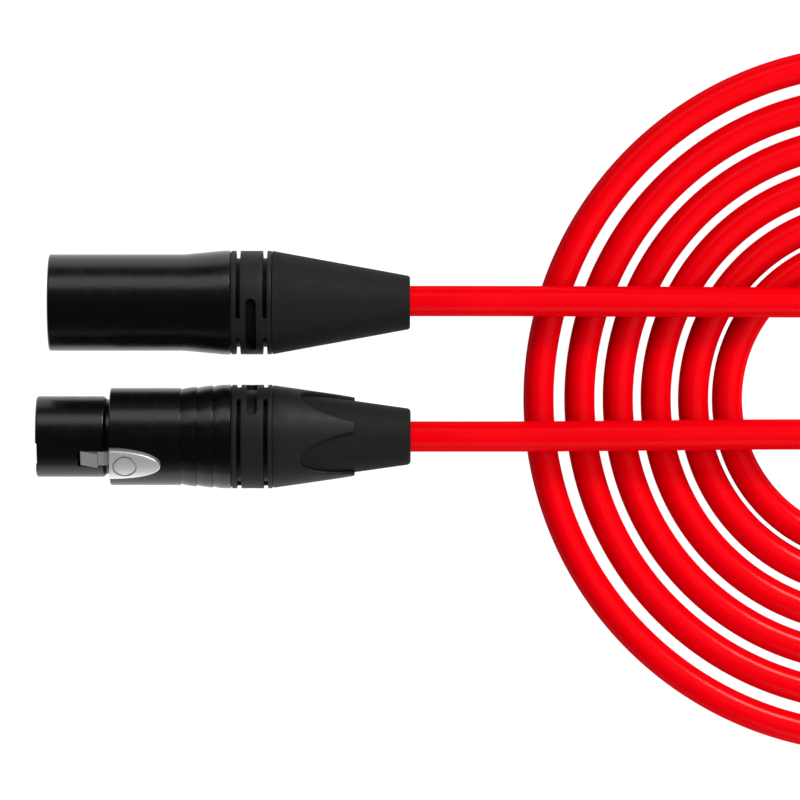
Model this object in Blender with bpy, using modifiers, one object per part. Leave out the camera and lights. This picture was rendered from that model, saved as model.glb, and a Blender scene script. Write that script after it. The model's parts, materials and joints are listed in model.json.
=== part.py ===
"""A coiled microphone cable with a three-pole plug on one end and a three-pole latching socket on the other.

The cable lies on the table as a flat spiral of six turns. Both ends come back over the spiral, side by
side, to the two connectors. Row frame: metres, +Z up, the table at Z = 0, the origin at the centre of
the object's footprint, and both connectors pointing along -X.

Each connector is modelled under an empty of its own. In that connector frame Z runs along the
connector's axis, from the mating face at Z = 0 to the cable, and X points at the key and the latch.
"""

from math import ceil, cos, pi, radians, sin, tau

import bmesh
import bpy
from mathutils import Matrix, Vector

MM = 0.001

# Cable and spiral, in millimetres
CABLE_DIAMETER = 6.0
TURN_RADII = (67.3, 59.2, 51.6, 44.1, 36.7, 30.0)  # centre lines, outermost turn first
ROUND_SHARE = 0.22  # of a turn, on each side of -X, over which each turn keeps its radius
LEAD_IN_RADIUS = 71.5  # where the outer end comes down to the table, beside the outermost turn
TURN_POINTS = 32  # points on a whole turn
OVER_HEIGHT = 9.15  # centre line of a lead that lies on top of the spiral
JACKET_BEHIND_SHELL = 2.8  # the jacket ends this far inside the connector's shell

# Connectors, in millimetres
MALE_Y = 19.0  # connector axes, from the spiral's centre
FEMALE_Y = -7.4
MALE_FRONT_X = -163.8  # mating faces, from the spiral's centre
FEMALE_FRONT_X = -166.2
WIDEST_RADIUS = 10.25  # a connector rests on the table on this radius
MALE_SHELL_LENGTH = 35.7
FEMALE_SHELL_LENGTH = 38.25
MALE_LENGTH = 71.1
FEMALE_LENGTH = 73.6
MALE_LEAD_SIDEWAYS = 0.3  # the male lead leaves its boot this far off the axis, towards +Y
FEMALE_CLOCKING = 33.5  # degrees from straight up to the latch, about the connector's axis
MALE_RING_CLOCKING = 31.5  # degrees from straight up to the slot of the screw ring
FEMALE_RING_CLOCKING = -59.5

KEY_FRONT = 14.3  # the plug's key starts this far in, at the bottom of its socket
KEY_NOTCH = 0.3  # depth of the notch in the rim of the other connector's nose

# Contacts
POLE_CIRCLE = 3.96
POLE_ANGLES = (75.0, -75.0, 180.0)  # degrees from the key
PIN_RADIUS = 1.2
CUP_RADIUS = 1.3
CUP_BORE = 0.85
CUP_BEHIND_SHELL = 5.8  # a solder cup ends this far inside the shell
WIRE_RADIUS = 0.55

# Screw ring and clamp, shared by both connectors
THREAD_BORE = 8.6
THREAD_RADIUS = 8.35
THREAD_LENGTH = 6.2
RING_GAP = 0.2  # the dark line between the shell and the screw ring
RING_LENGTH = 7.95
RING_RADIUS = 10.21
GROOVE_WIDTH = 0.85
GROOVE_CENTRES = (1.42, 6.68)  # from the ring's front
GROOVE_FLOOR = 8.75  # radius at the bottom of a groove
BRIDGE_HALF_WIDTH = 2.17  # a groove stops this far on each side of a pocket's middle
POCKET_WIDTH = 2.05
POCKET_CENTRE = 3.95
POCKET_DEPTH = 1.0
POCKET_HALF_ANGLE = 35.0
SEAM = 0.15

# Latch of the female connector
LATCH_HALF_WIDTH = 3.3
LATCH_FRONT = 14.6
LATCH_TAIL = 24.6
LATCH_TOP = 10.5  # height of the button's face above the connector's axis
LATCH_UNDER = 8.6
LATCH_PIVOT = (7.95, 22.5)  # height above the axis, distance from the mating face
HOOK_HALF_WIDTH = 1.6
LATCH_PLAY = 0.2

ROUND_STEPS = 28
SMALL_STEPS = 12
FLAT_PLACEMENT = Matrix(((0, 0, 1), (0, -1, 0), (1, 0, 0)))  # an outline seen from above the key
SIDE_PLACEMENT = Matrix(((0, 1, 0), (0, 0, 1), (1, 0, 0)))  # an outline seen from the side


# ---------------------------------------------------------------- scene and materials


def clear_scene():
    for thing in list(bpy.data.objects):
        bpy.data.objects.remove(thing)


def new_collection(name):
    made = bpy.data.collections.new(name)
    bpy.context.scene.collection.children.link(made)
    return made


def plain_material(name, colour, roughness, metallic):
    made = bpy.data.materials.new(name)
    made.use_nodes = True
    shader = made.node_tree.nodes["Principled BSDF"]
    shader.inputs["Base Color"].default_value = (*colour, 1.0)
    shader.inputs["Roughness"].default_value = roughness
    shader.inputs["Metallic"].default_value = metallic
    return made


def make_materials():
    return {
        "jacket": plain_material("red_jacket", (0.90, 0.005, 0.012), 0.35, 0.0),
        "shell": plain_material("black_coated_zinc", (0.012, 0.012, 0.013), 0.36, 0.4),
        "moulding": plain_material("black_moulding", (0.020, 0.020, 0.021), 0.50, 0.0),
        "boot": plain_material("black_soft_boot", (0.022, 0.022, 0.023), 0.60, 0.0),
        "insert": plain_material("black_insert", (0.015, 0.015, 0.016), 0.45, 0.0),
        "latch": plain_material("satin_nickel", (0.62, 0.62, 0.63), 0.28, 1.0),
        "contact": plain_material("gold_contact", (0.83, 0.62, 0.26), 0.22, 1.0),
        "spring": plain_material("spring_steel", (0.55, 0.55, 0.56), 0.30, 1.0),
        "clamp": plain_material("white_clamp", (0.72, 0.71, 0.68), 0.50, 0.0),
        "copper": plain_material("tinned_copper", (0.74, 0.50, 0.36), 0.35, 1.0),
        "wire_white": plain_material("white_insulation", (0.80, 0.80, 0.78), 0.45, 0.0),
        "wire_blue": plain_material("blue_insulation", (0.04, 0.12, 0.42), 0.45, 0.0),
    }


# ---------------------------------------------------------------- shapes


def add_object(name, data, parent, collection, material=None):
    made = bpy.data.objects.new(name, data)
    collection.objects.link(made)
    made.parent = parent
    if material is not None:
        data.materials.append(material)
    return made


def arc(centre_radius, centre_z, radius, start, end, steps=3):
    """Points (radius, z) round a corner, from one angle to another in degrees. Angle 0 points outwards."""
    angles = [radians(start + (end - start) * i / steps) for i in range(steps + 1)]
    return [(centre_radius + radius * cos(a), centre_z + radius * sin(a)) for a in angles]


def ease(share):
    """From 0 to 1 with no slope at either end."""
    share = min(max(share, 0.0), 1.0)
    return share * share * (3 - 2 * share)


def turned(name, profile, parent, collection, material=None, steps=ROUND_STEPS):
    """A turned solid. The profile is (radius, z) in millimetres, as a loop or from axis to axis."""
    on_axis = profile[0][0] == 0 and profile[-1][0] == 0
    pairs = list(zip(profile, profile[1:] + profile[:1]))
    if sum(r0 * z1 - r1 * z0 for (r0, z0), (r1, z1) in pairs) > 0:
        profile = profile[::-1]  # the outer side has to run from high z to low z
    edges = [(i, i + 1) for i in range(len(profile) - 1)]
    if not on_axis:
        edges.append((len(profile) - 1, 0))
    mesh = bpy.data.meshes.new(name)
    mesh.from_pydata([(r * MM, 0, z * MM) for r, z in profile], edges, [])
    made = add_object(name, mesh, parent, collection, material)
    screw = made.modifiers.new("Turn", "SCREW")
    screw.axis = "Z"
    screw.angle = tau
    screw.steps = screw.render_steps = steps
    screw.use_merge_vertices = True
    screw.merge_threshold = 0.00001
    return made


def block(name, low, high, parent, collection, material=None):
    """A box between two corners, in millimetres."""
    work = bmesh.new()
    bmesh.ops.create_cube(work, size=MM)
    size = [b - a for a, b in zip(low, high)]
    middle = [(a + b) / 2 * MM for a, b in zip(low, high)]
    bmesh.ops.scale(work, vec=size, verts=work.verts)
    bmesh.ops.translate(work, vec=middle, verts=work.verts)
    mesh = bpy.data.meshes.new(name)
    work.to_mesh(mesh)
    work.free()
    return add_object(name, mesh, parent, collection, material)


def made_solid(name, curve, placement, parent, collection, material):
    """A mesh object with the curve's evaluated shape, its caps welded and its faces pointing out."""
    holder = bpy.data.objects.new(name + "_curve", curve)
    collection.objects.link(holder)
    graph = bpy.context.evaluated_depsgraph_get()
    mesh = bpy.data.meshes.new_from_object(holder.evaluated_get(graph))
    bpy.data.objects.remove(holder)
    mesh.name = name
    work = bmesh.new()
    work.from_mesh(mesh)
    bmesh.ops.remove_doubles(work, verts=work.verts, dist=0.000001)
    bmesh.ops.transform(work, matrix=placement.to_4x4(), verts=work.verts)
    bmesh.ops.recalc_face_normals(work, faces=work.faces)
    work.to_mesh(mesh)
    work.free()
    mesh.materials.clear()
    return add_object(name, mesh, parent, collection, material)


def plate(name, outline, low, high, placement, parent, collection, material=None):
    """A flat outline in millimetres, given thickness from low to high across its own plane."""
    curve = bpy.data.curves.new(name, "CURVE")
    curve.dimensions = "2D"
    curve.fill_mode = "BOTH"
    curve.extrude = (high - low) / 2 * MM
    spline = curve.splines.new("POLY")
    spline.points.add(len(outline) - 1)
    for point, (x, y) in zip(spline.points, outline):
        point.co = (x * MM, y * MM, 0, 1)
    spline.use_cyclic_u = True
    lift = Matrix.Translation(placement @ Vector((0, 0, (low + high) / 2 * MM)))
    return made_solid(name, curve, lift @ placement.to_4x4(), parent, collection, material)


def rod(name, points, radius, parent, collection, material, resolution=2, twist="MINIMUM"):
    """A round wire through points in millimetres."""
    curve = bpy.data.curves.new(name, "CURVE")
    curve.dimensions = "3D"
    curve.bevel_depth = radius * MM
    curve.bevel_resolution = resolution
    curve.use_fill_caps = True
    curve.twist_mode = twist
    spline = curve.splines.new("POLY")
    spline.points.add(len(points) - 1)
    for point, place in zip(spline.points, points):
        point.co = (*(v * MM for v in place), 1)
    return add_object(name, curve, parent, collection, material)


def combine(target, other, operation):
    """Cuts other from target, joins it on, or keeps only what they share."""
    other.hide_render = True
    other.display_type = "WIRE"
    modifier = target.modifiers.new(other.name, "BOOLEAN")
    modifier.operation = operation
    modifier.object = other


# ---------------------------------------------------------------- cable path


def turn_radius(turns):
    """Centre-line radius after that many turns from -X, going clockwise and inwards.

    Each turn is round on its -X side and moves to the next radius on its +X side.
    """
    if turns < 0:
        share = (-turns - ROUND_SHARE) / (0.5 - ROUND_SHARE)
        return TURN_RADII[0] + (LEAD_IN_RADIUS - TURN_RADII[0]) * ease(share)
    number = min(int(turns), len(TURN_RADII) - 1)
    following = min(number + 1, len(TURN_RADII) - 1)
    share = (turns - number - ROUND_SHARE) / (1 - 2 * ROUND_SHARE)
    return TURN_RADII[number] + (TURN_RADII[following] - TURN_RADII[number]) * ease(share)


def on_spiral(turns):
    angle = pi - tau * turns
    radius = turn_radius(turns)
    return Vector((radius * cos(angle), radius * sin(angle)))


def spiral_points(start, end):
    """Points along the spiral between two turn counts, without the first."""
    steps = ceil((end - start) * TURN_POINTS)
    return [on_spiral(start + (end - start) * i / steps) for i in range(1, steps + 1)]


def bezier(start, start_pull, end_pull, end, steps):
    """Points of a cubic Bezier curve, without its first and last."""
    points = []
    for i in range(1, steps):
        t = i / steps
        s = 1 - t
        points.append(
            s**3 * start + 3 * s * s * t * start_pull + 3 * s * t * t * end_pull + t**3 * end
        )
    return points


def lead_height(x, from_x, to_x):
    """Height of a lead: level with its connector, then resting on the spiral."""
    share = (x - from_x) / (to_x - from_x)
    return WIDEST_RADIUS + (OVER_HEIGHT - WIDEST_RADIUS) * ease(share)


def falling(points, high, low, first_share, last_share):
    """The same points with a height that falls between two shares of their length."""
    lengths = [0.0]
    for a, b in zip(points, points[1:]):
        lengths.append(lengths[-1] + (b - a).length)
    placed = []
    for point, length in zip(points, lengths):
        share = (length / lengths[-1] - first_share) / (last_share - first_share)
        placed.append(Vector((point.x, point.y, high + (low - high) * ease(share))))
    return placed


def straight_lead(y, sideways, jacket_x, boot_x, last_x, last_y):
    """A lead from its jacket end to the spiral's hole, level until it is well clear of the boot."""
    level_x = boot_x + 9
    settled_x = level_x + 16
    points = [Vector((jacket_x, y, WIDEST_RADIUS)), Vector((boot_x - 12, y, WIDEST_RADIUS))]
    y += sideways
    points += [Vector((boot_x - 2, y, WIDEST_RADIUS)), Vector((boot_x + 8, y, WIDEST_RADIUS))]
    for i in range(5):
        x = level_x + (settled_x - level_x) * i / 4
        points.append(Vector((x, y, lead_height(x, level_x, settled_x))))
    slope = (last_y - y) / (last_x - settled_x)
    for share in (0.5, 1.0):
        x = settled_x + (last_x - settled_x) * share
        points.append(Vector((x, y + slope * (x - settled_x), OVER_HEIGHT)))
    return points


def cable_path():
    """Centre line from the jacket's end in the plug to its end in the socket, about the spiral's centre."""
    table = CABLE_DIAMETER / 2
    male_jacket = MALE_FRONT_X + MALE_SHELL_LENGTH - JACKET_BEHIND_SHELL
    female_jacket = FEMALE_FRONT_X + FEMALE_SHELL_LENGTH - JACKET_BEHIND_SHELL
    male_boot = MALE_FRONT_X + MALE_LENGTH
    female_boot = FEMALE_FRONT_X + FEMALE_LENGTH

    outer_lead = straight_lead(
        MALE_Y, MALE_LEAD_SIDEWAYS, male_jacket, male_boot, 12.0, MALE_Y - 0.1
    )
    over = Vector((12.0, MALE_Y - 0.1))
    joins = -0.40  # turns before -X at which the outer lead has joined the spiral
    settles = -0.24  # turns before -X at which it has come down to the table
    onto = on_spiral(joins)
    heading = (on_spiral(joins + 0.01) - onto).normalized()
    swing = [over, *bezier(over, over + Vector((38, 0)), onto - heading * 30, onto, 16), onto]
    swing += spiral_points(joins, settles)
    swing = falling(swing, OVER_HEIGHT, table, 0.42, 1.0)

    ends = len(TURN_RADII) - 0.75  # the innermost turn ends at its +Y side
    spiral = [Vector((p.x, p.y, table)) for p in spiral_points(settles, ends)]

    inner_y = FEMALE_Y + 0.4
    middle_y = (TURN_RADII[-1] + inner_y) / 2
    half_height = (TURN_RADII[-1] - inner_y) / 2
    angles = [radians(90 - 180 * i / 14) for i in range(1, 15)]
    loop = [Vector((21.5 * cos(a), middle_y + half_height * sin(a))) for a in angles]
    loop.append(Vector((-8.0, inner_y)))
    loop.append(Vector((-17.0, inner_y)))
    loop = falling(loop, table, OVER_HEIGHT, 0.30, 0.97)
    inner_lead = straight_lead(FEMALE_Y, 0.0, female_jacket, female_boot, -24.0, inner_y)
    return outer_lead + swing[1:] + spiral + loop + inner_lead[::-1]


def footprint_centre(path):
    """Centre of the object's footprint, from the path's reach and the female mating face."""
    reach = CABLE_DIAMETER / 2
    high_x = max(p.x for p in path) + reach
    high_y = max(p.y for p in path) + reach
    low_y = min(p.y for p in path) - reach
    return Vector(((high_x + FEMALE_FRONT_X) / 2, (high_y + low_y) / 2))


def make_cable(path, centre, collection, materials):
    points = [p - Vector((centre.x, centre.y, 0)) for p in path]
    radius = CABLE_DIAMETER / 2
    rod("cable_jacket", points, radius, None, collection, materials["jacket"], twist="Z_UP")


# ---------------------------------------------------------------- pieces of both connectors


def connector_frame(name, front_x, y, clocking, centre, collection):
    """An empty on the connector's axis, at its mating face."""
    made = bpy.data.objects.new(name, None)
    collection.objects.link(made)
    place = Matrix.Translation(Vector((front_x - centre.x, y - centre.y, WIDEST_RADIUS)) * MM)
    turn = Matrix.Rotation(radians(clocking), 4, "Z")
    made.matrix_world = place @ FLAT_PLACEMENT.to_4x4() @ turn
    return made


def sub_frame(name, parent, collection, location=(0, 0, 0), turn=0.0):
    made = bpy.data.objects.new(name, None)
    collection.objects.link(made)
    made.parent = parent
    made.location = Vector(location) * MM
    made.rotation_euler = (0, 0, radians(turn))
    return made


def pole_places(mirrored):
    """Number and (x, y) of each pole. The male connector's poles are the mirror of the female's."""
    side = -1 if mirrored else 1
    for number, angle in enumerate(POLE_ANGLES, 1):
        turn = radians(side * angle)
        yield number, POLE_CIRCLE * cos(turn), POLE_CIRCLE * sin(turn)


def solder_cup(start_z, shell_length):
    """The rear part of a contact, from its collar to the axis at the bottom of the cup."""
    end = shell_length - CUP_BEHIND_SHELL
    return [
        (1.7, start_z),
        (1.7, start_z + 0.6),
        (CUP_RADIUS, start_z + 0.6),
        (CUP_RADIUS, end),
        (CUP_BORE, end),
        (CUP_BORE, end - 3.2),
        (0, end - 3.2),
    ]


def make_wires(prefix, shell_length, mirrored, frame, collection, materials):
    """The cable's three conductors, from the jacket's end to the solder cups."""
    looks = {1: ("shield", "copper"), 2: ("hot", "wire_white"), 3: ("cold", "wire_blue")}
    cup_end = shell_length - CUP_BEHIND_SHELL
    jacket_end = shell_length - JACKET_BEHIND_SHELL
    for number, x, y in pole_places(mirrored):
        role, look = looks[number]
        steps = [
            (1.0, cup_end - 3.0),
            (1.0, cup_end + 0.4),
            (0.72, cup_end + 1.3),
            (0.36, jacket_end - 0.8),
            (0.32, jacket_end - SEAM),
        ]
        points = [(x * spread, y * spread, z) for spread, z in steps]
        rod(f"{prefix}_wire_{role}", points, WIRE_RADIUS, frame, collection, materials[look], 1)


def make_chuck(prefix, shell_length, frame, collection, cutters, materials):
    """The clamp that grips the jacket: a ring with four jaws, pressed together by the screw ring."""
    rear = shell_length
    profile = [
        (8.2, rear - 10.3),
        (8.2, rear - 6.6),
        (6.3, rear - 6.3),
        (6.3, rear + 2.7),
        (5.2, rear + 5.7),
        (3.35, rear + 5.7),
        (3.35, rear - 2.0),
        (5.9, rear - 5.3),
        (5.9, rear - 10.3),
    ]
    chuck = turned(f"{prefix}_chuck", profile, frame, collection, materials["clamp"], 24)
    reach, half = 9.0, 0.5
    for number, (x, y) in enumerate(((reach, half), (half, reach)), 1):
        corners = ((-x, -y, rear - 2.6), (x, y, rear + 7.0))
        slit = block(f"{prefix}_chuck_slit_{number}", *corners, frame, cutters)
        combine(chuck, slit, "DIFFERENCE")
    return chuck


def groove_cutter(name, front_z, centre, frame, cutters):
    """A flat ring wider than the screw ring, less the two bridges that interrupt the groove."""
    low = front_z + centre - GROOVE_WIDTH / 2
    high = low + GROOVE_WIDTH
    profile = [(GROOVE_FLOOR, low), (12, low), (12, high), (GROOVE_FLOOR, high)]
    cutter = turned(name, profile, frame, cutters)
    corners = ((-13, -BRIDGE_HALF_WIDTH, low - 0.5), (13, BRIDGE_HALF_WIDTH, high + 0.5))
    combine(cutter, block(name + "_bridges", *corners, frame, cutters), "DIFFERENCE")
    return cutter


def pocket_cutter(name, front_z, turn, frame, cutters):
    """A long slot with round ends, pulled straight out of the ring, down to a floor that follows it."""
    half_width = POCKET_WIDTH / 2
    middle = front_z + POCKET_CENTRE
    reach = RING_RADIUS * sin(radians(POCKET_HALF_ANGLE)) - half_width
    outline = []
    for side in (1, -1):
        for i in range(5):
            angle = radians(45 * i + (0 if side == 1 else 180))
            z = middle + half_width * cos(angle)
            outline.append((z, side * reach + half_width * sin(angle)))
    side_frame = sub_frame(name + "_turn", frame, cutters, turn=turn)
    slot = plate(name, outline, 3, 12, FLAT_PLACEMENT, side_frame, cutters)
    floor = RING_RADIUS - POCKET_DEPTH
    core = [(0, middle - 2), (floor, middle - 2), (floor, middle + 2), (0, middle + 2)]
    combine(slot, turned(name + "_core", core, side_frame, cutters), "DIFFERENCE")
    return slot


def make_screw_ring(prefix, shell_length, clocking, frame, collection, cutters, materials):
    """The ring that screws into the shell: a threaded sleeve, the slotted grip and a spigot for the boot."""
    front = shell_length + RING_GAP
    back = front + RING_LENGTH
    profile = [
        (THREAD_RADIUS, front - THREAD_LENGTH),
        (THREAD_RADIUS, front),
        (RING_RADIUS - 0.15, front),
        (RING_RADIUS, front + 0.15),
        (RING_RADIUS, back - 0.15),
        (RING_RADIUS - 0.15, back),
        (7.3, back),
        (7.3, back + 2.5),
        (5.6, back + 2.5),
        (5.6, front + 5.7),
        (6.6, front + 2.7),
        (6.6, front - THREAD_LENGTH),
    ]
    grip = sub_frame(f"{prefix}_ring_clocking", frame, collection, turn=clocking)
    ring = turned(f"{prefix}_screw_ring", profile, grip, collection, materials["moulding"])
    for number, centre in enumerate(GROOVE_CENTRES, 1):
        cutter = groove_cutter(f"{prefix}_groove_{number}", front, centre, grip, cutters)
        combine(ring, cutter, "DIFFERENCE")
    for number, turn in enumerate((0, 180), 1):
        cutter = pocket_cutter(f"{prefix}_pocket_{number}", front, turn, grip, cutters)
        combine(ring, cutter, "DIFFERENCE")
    return ring


# ---------------------------------------------------------------- male connector


def make_male_shell(frame, collection, cutters, materials):
    rear = MALE_SHELL_LENGTH
    body, flare_start, flare_end = 9.5, 26.7, 34.5
    flare = []
    for i in range(6):
        z = flare_end + (flare_start - flare_end) * i / 5
        share = (z - flare_start) / (flare_end - flare_start)
        flare.append((body + (WIDEST_RADIUS - body) * (0.75 * share + 0.25 * ease(share)), z))
    profile = [
        *arc(WIDEST_RADIUS - 0.3, rear - 0.3, 0.3, 90, 0, 2),
        *flare,
        *arc(body - 0.35, 0.35, 0.35, 0, -90),
        *arc(8.15 + 0.25, 0.25, 0.25, -90, -180, 2),
        (8.15, 15.6),
        (7.5, 15.6),
        (7.5, 16.4),
        (THREAD_BORE, 16.4),
        (THREAD_BORE, rear),
    ]
    shell = turned("male_shell", profile, frame, collection, materials["shell"])
    key = block("male_key", (7.2, -1.7, KEY_FRONT), (8.6, 1.7, 15.8), frame, cutters)
    combine(shell, key, "UNION")
    recess = block("male_latch_recess", (7.6, -2.3, 3.0), (8.75, 2.3, 7.4), frame, cutters)
    combine(shell, recess, "DIFFERENCE")


def make_male_insert(frame, collection, cutters, materials):
    profile = [(0, 15.9), (7.35, 15.9), (7.35, 16.6), (8.4, 16.6), (8.4, 25.0), (0, 25.0)]
    insert = turned("male_insert", profile, frame, collection, materials["insert"], 24)
    for number, x, y in pole_places(mirrored=True):
        hole = [(0, 14), (PIN_RADIUS + 0.15, 14), (PIN_RADIUS + 0.15, 27), (0, 27)]
        cutter = turned(f"male_pin_hole_{number}", hole, frame, cutters, steps=SMALL_STEPS)
        cutter.location = Vector((x, y, 0)) * MM
        combine(insert, cutter, "DIFFERENCE")


def make_male_pins(frame, collection, materials):
    """Three pins with round tips. Pin 1, the ground, reaches further forward and mates first."""
    for number, x, y in pole_places(mirrored=True):
        tip = 2.6 if number == 1 else 3.2
        profile = [
            *arc(0, tip + PIN_RADIUS, PIN_RADIUS, -90, 0, 4),
            (PIN_RADIUS, 25.3),
            *solder_cup(25.3, MALE_SHELL_LENGTH),
        ]
        profile[0] = (0, tip)
        pin = turned(
            f"male_pin_{number}", profile, frame, collection, materials["contact"], SMALL_STEPS
        )
        pin.location = Vector((x, y, 0)) * MM


def make_male_boot(frame, collection, materials):
    """The soft cone that keeps the cable from kinking."""
    front = MALE_SHELL_LENGTH + RING_GAP + RING_LENGTH + SEAM
    end = MALE_LENGTH
    profile = [
        (10.2, front),
        *arc(5.33 - 0.5, end - 0.5, 0.5, 10, 90),
        (3.5, end),
        (3.5, end - 17),
        (7.6, front + 3.4),
        (7.6, front),
    ]
    turned("male_boot", profile, frame, collection, materials["boot"])


def make_male_connector(centre, collection, cutters, materials):
    place = (MALE_FRONT_X, MALE_Y, 0.0, centre, collection)
    frame = connector_frame("male_connector", *place)
    make_male_shell(frame, collection, cutters, materials)
    make_male_insert(frame, collection, cutters, materials)
    make_male_pins(frame, collection, materials)
    make_wires("male", MALE_SHELL_LENGTH, True, frame, collection, materials)
    make_chuck("male", MALE_SHELL_LENGTH, frame, collection, cutters, materials)
    ring = ("male", MALE_SHELL_LENGTH, MALE_RING_CLOCKING)
    make_screw_ring(*ring, frame, collection, cutters, materials)
    make_male_boot(frame, collection, materials)


# ---------------------------------------------------------------- female connector


def button_outline(grow=0.0, front=LATCH_FRONT):
    """The latch button from above: a straight front edge and a half-oval tail."""
    half_width = LATCH_HALF_WIDTH + grow
    length = LATCH_TAIL - LATCH_FRONT + grow
    points = [(front, -half_width)] if front < LATCH_FRONT else []
    for i in range(17):
        angle = radians(-90 + 180 * i / 16)
        points.append((LATCH_FRONT + length * cos(angle), half_width * sin(angle)))
    if front < LATCH_FRONT:
        points.append((front, half_width))
    return points


def make_female_shell(frame, collection, cutters, materials):
    rear = FEMALE_SHELL_LENGTH
    nose, neck, body = 7.95, 7.37, 9.57
    steps = ((28.4, 31.5, 9.36, 9.8), (31.6, 34.7, 9.64, 10.05), (34.8, 36.9, 9.89, 10.21))
    profile = [*arc(nose - 0.35, 0.35, 0.35, -90, 0)]
    profile += [(nose, 13.2), (neck, 13.85), (neck, 14.5), (body - 0.2, 14.5), (body, 14.7)]
    profile.append((body, 28.3))
    for start, end, low, high in steps:
        for i in range(4):
            share = i / 3
            profile.append((low + (high - low) * sin(share * pi / 2), start + (end - start) * share))
    profile += [*arc(10.21 - 0.25, rear - 0.25, 0.25, 0, 90, 2)]
    profile += [(THREAD_BORE, rear), (THREAD_BORE, 25.5), (6.4, 25.5), (6.4, 0)]
    shell = turned("female_shell", profile, frame, collection, materials["shell"])
    cuts = (
        block("female_key_notch", (6.0, -3.2, -1), (9, 3.2, KEY_NOTCH), frame, cutters),
        block("female_hook_window", (5.9, -1.85, 8.3), (9.2, 1.85, 16.4), frame, cutters),
        plate(
            "female_button_pocket",
            button_outline(LATCH_PLAY, front=14.1),
            6.95,
            12,
            FLAT_PLACEMENT,
            frame,
            cutters,
        ),
        pivot_rod("female_pivot_bore", 0.62, 3.4, frame, cutters),
    )
    for cutter in cuts:
        combine(shell, cutter, "DIFFERENCE")


def pivot_rod(name, radius, half_length, frame, collection, material=None):
    """A cylinder across the connector, on the latch's pivot axis."""
    profile = [(0, -half_length), (radius, -half_length), (radius, half_length), (0, half_length)]
    made = turned(name, profile, frame, collection, material, SMALL_STEPS)
    height, distance = LATCH_PIVOT
    made.location = Vector((height, 0, distance)) * MM
    made.rotation_euler = (pi / 2, 0, 0)
    return made


def make_female_insert(frame, collection, cutters, materials):
    profile = [(0, 0.5), (6.3, 0.5), (6.3, 25.8), (8.4, 25.8), (8.4, 27.6), (0, 27.6)]
    insert = turned("female_insert", profile, frame, collection, materials["insert"], 24)
    for number, x, y in pole_places(mirrored=False):
        hole = [(0, -1), (1.38, -1), (1.38, 1.7), (1.95, 1.7), (1.95, 29), (0, 29)]
        cutter = turned(f"female_contact_hole_{number}", hole, frame, cutters, steps=SMALL_STEPS)
        cutter.location = Vector((x, y, 0)) * MM
        combine(insert, cutter, "DIFFERENCE")
    flat = block("female_hook_flat", (5.6, -2.2, 7.6), (7, 2.2, 16.8), frame, cutters)
    combine(insert, flat, "DIFFERENCE")


def make_female_contacts(frame, collection, materials):
    """Three tubes that take the plug's pins, each with a solder cup behind."""
    for number, x, y in pole_places(mirrored=False):
        profile = [
            (0, 15.5),
            (PIN_RADIUS + 0.05, 15.5),
            (PIN_RADIUS + 0.05, 2.0),
            (1.75, 2.0),
            (1.75, 22.0),
            (CUP_RADIUS, 22.0),
            (CUP_RADIUS, 27.9),
            *solder_cup(27.9, FEMALE_SHELL_LENGTH),
        ]
        contact = turned(
            f"female_contact_{number}", profile, frame, collection, materials["contact"], SMALL_STEPS
        )
        contact.location = Vector((x, y, 0)) * MM


def make_latch(frame, collection, cutters, materials):
    """The release button and its hook, in one piece, on a pin near the button's tail."""
    height, distance = LATCH_PIVOT
    pivot = sub_frame("latch_pivot", frame, collection, (height, 0, distance))

    def about_pivot(outline, across=0.0):
        return [(z - distance, y - across) for z, y in outline]

    lever = plate(
        "latch_lever",
        about_pivot(button_outline()),
        LATCH_UNDER - height,
        LATCH_TOP - height,
        FLAT_PLACEMENT,
        pivot,
        collection,
        materials["latch"],
    )
    hook_side = [
        (8.8, 6.95),
        (8.8, 7.6),
        (12.25, 8.65),
        (12.3, 7.8),
        (LATCH_FRONT + 0.1, 7.8),
        (LATCH_FRONT + 0.1, LATCH_UNDER + 0.4),
        (16.0, LATCH_UNDER + 0.4),
        (16.0, 6.95),
    ]
    sides = (-HOOK_HALF_WIDTH, HOOK_HALF_WIDTH)
    hook = about_pivot(hook_side, height)
    hook = plate("latch_hook", hook, *sides, SIDE_PLACEMENT, pivot, cutters)
    combine(lever, hook, "UNION")
    lug_corners = ((7.15 - height, -1.4, -0.8), (LATCH_UNDER + 0.4 - height, 1.4, 0.8))
    combine(lever, block("latch_lug", *lug_corners, pivot, cutters), "UNION")
    pad = turned(
        "latch_thumb_pad",
        [(0, -0.3), (2.15, -0.3), (2.15, 0.12), (2.05, 0.2), (0, 0.2)],
        pivot,
        cutters,
        steps=24,
    )
    pad.location = Vector((LATCH_TOP - height, 0, 17.6 - distance)) * MM
    pad.rotation_euler = (0, pi / 2, 0)
    combine(lever, pad, "UNION")
    bore = pivot_rod("latch_bore", 0.6, 4, frame, cutters)
    combine(lever, bore, "DIFFERENCE")
    pivot_rod("latch_pin", 0.5, 3.25, frame, collection, materials["spring"])


def make_latch_spring(frame, collection, materials):
    """A small coil spring under the button."""
    wire, radius, turns, points_a_turn = 0.16, 1.1, 3, 10
    low, high = 6.95 + wire + 0.08, LATCH_UNDER - wire - 0.08
    count = turns * points_a_turn
    points = []
    for i in range(count + 1):
        angle = tau * i / points_a_turn
        height = low + (high - low) * i / count
        points.append((height, radius * cos(angle), 18.6 + radius * sin(angle)))
    rod("latch_spring", points, wire, frame, collection, materials["spring"], 1)


def boot_radius(z):
    """Outside of the soft boot of the female connector, which narrows evenly to the cable."""
    return 6.97 + 0.141 * (63.1 - z)


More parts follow.
